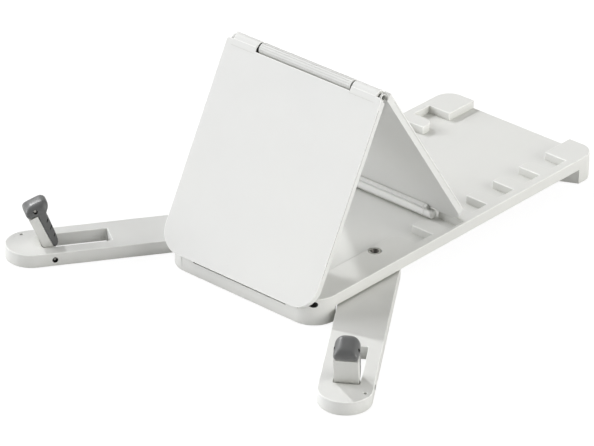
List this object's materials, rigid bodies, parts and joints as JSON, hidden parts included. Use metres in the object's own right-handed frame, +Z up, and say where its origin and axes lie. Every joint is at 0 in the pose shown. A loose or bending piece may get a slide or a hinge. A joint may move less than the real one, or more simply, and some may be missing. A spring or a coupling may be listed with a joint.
{
  "type": "portable drawing board easel",
  "caption": "Folding ABS table easel: a notched base tray, a tent of hinged panels that props at several slopes, and swing-out arms with gripping fingers that hold a board or page.",
  "frame": {"origin": "centre of the footprint (both arms swung out) on the table plane, the plane the rubber feet stand on", "axes": "+X to the user's right, +Y away from the user along the base tray, +Z up"},
  "size_m": [0.3934, 0.4676, 0.1898],
  "materials": {
    "abs_shell": "white moulded ABS, fine satin grain",
    "rubber_grip": "mid-grey matte soft-touch rubber",
    "rubber_feet": "dark grey matte rubber",
    "nylon_washer": "natural nylon, satin",
    "steel_fasteners": "zinc plated steel, satin",
    "steel_pins": "plain steel pin, satin"
  },
  "bodies": {
    "base": {"base_tray": "abs_shell", "base_bottom_cover": "abs_shell", "cover_screw_near_left": "steel_fasteners", "cover_screw_near_right": "steel_fasteners", "cover_screw_far_left": "steel_fasteners", "cover_screw_far_right": "steel_fasteners", "rubber_foot_near_left": "rubber_feet", "rubber_foot_near_right": "rubber_feet", "rubber_foot_far_left": "rubber_feet", "rubber_foot_far_right": "rubber_feet", "arm_pivot_bolt_left": "steel_fasteners", "arm_pivot_bolt_right": "steel_fasteners", "arm_pivot_nut_left": "steel_fasteners", "arm_pivot_nut_right": "steel_fasteners", "arm_pivot_washer_left": "nylon_washer", "arm_pivot_washer_right": "nylon_washer", "lower_hinge_pin_left": "steel_pins", "lower_hinge_pin_right": "steel_pins"},
    "front_panel": {"front_panel": "abs_shell", "top_hinge_pin": "steel_pins"},
    "rear_panel": {"rear_panel": "abs_shell", "rear_foot_bar": "abs_shell", "foot_bar_cap_left": "abs_shell", "foot_bar_cap_right": "abs_shell"},
    "arm_left": {"arm_left": "abs_shell", "arm_pad_left": "rubber_feet", "finger_pivot_pin_left": "steel_pins"},
    "finger_left": {"finger_left": "abs_shell", "finger_grip_left": "rubber_grip", "grip_pin_left": "steel_pins"},
    "arm_right": {"arm_right": "abs_shell", "arm_pad_right": "rubber_feet", "finger_pivot_pin_right": "steel_pins"},
    "finger_right": {"finger_right": "abs_shell", "finger_grip_right": "rubber_grip", "grip_pin_right": "steel_pins"}
  },
  "joints": [
    {"name": "front_panel_tilt", "type": "hinge", "parent": "base", "child": "front_panel", "pos_m": [0, -0.13799, 0.0204], "axis": [1, 0, 0], "range_deg": [-63.2, 0]},
    {"name": "rear_panel_fold", "type": "hinge", "parent": "front_panel", "child": "rear_panel", "pos_m": [0, -0.06169, 0.1843], "axis": [1, 0, 0], "range_deg": [0, 118.2]},
    {"name": "arm_right_swing", "type": "hinge", "parent": "base", "child": "arm_right", "pos_m": [0.0605, -0.04069, 0.007], "axis": [0, 0, 1], "range_deg": [0, 146.3]},
    {"name": "finger_right_fold", "type": "hinge", "parent": "arm_right", "child": "finger_right", "pos_m": [0.16564, -0.19835, 0.0064], "axis": [-0.832, -0.5548, 0], "range_deg": [0, 120.7]},
    {"name": "arm_left_swing", "type": "hinge", "parent": "base", "child": "arm_left", "pos_m": [-0.0605, -0.04069, 0.007], "axis": [0, 0, -1], "range_deg": [0, 146.3]},
    {"name": "finger_left_fold", "type": "hinge", "parent": "arm_left", "child": "finger_left", "pos_m": [-0.16564, -0.19835, 0.0064], "axis": [-0.832, 0.5548, 0], "range_deg": [0, 120.7]}
  ],
  "couplings": [
    {"joint": "rear_panel_fold", "follows": "front_panel_tilt", "ratio": -1.8702},
    {"joint": "finger_right_fold", "follows": "arm_right_swing", "ratio": 0.825},
    {"joint": "finger_left_fold", "follows": "arm_left_swing", "ratio": 0.825}
  ]
}
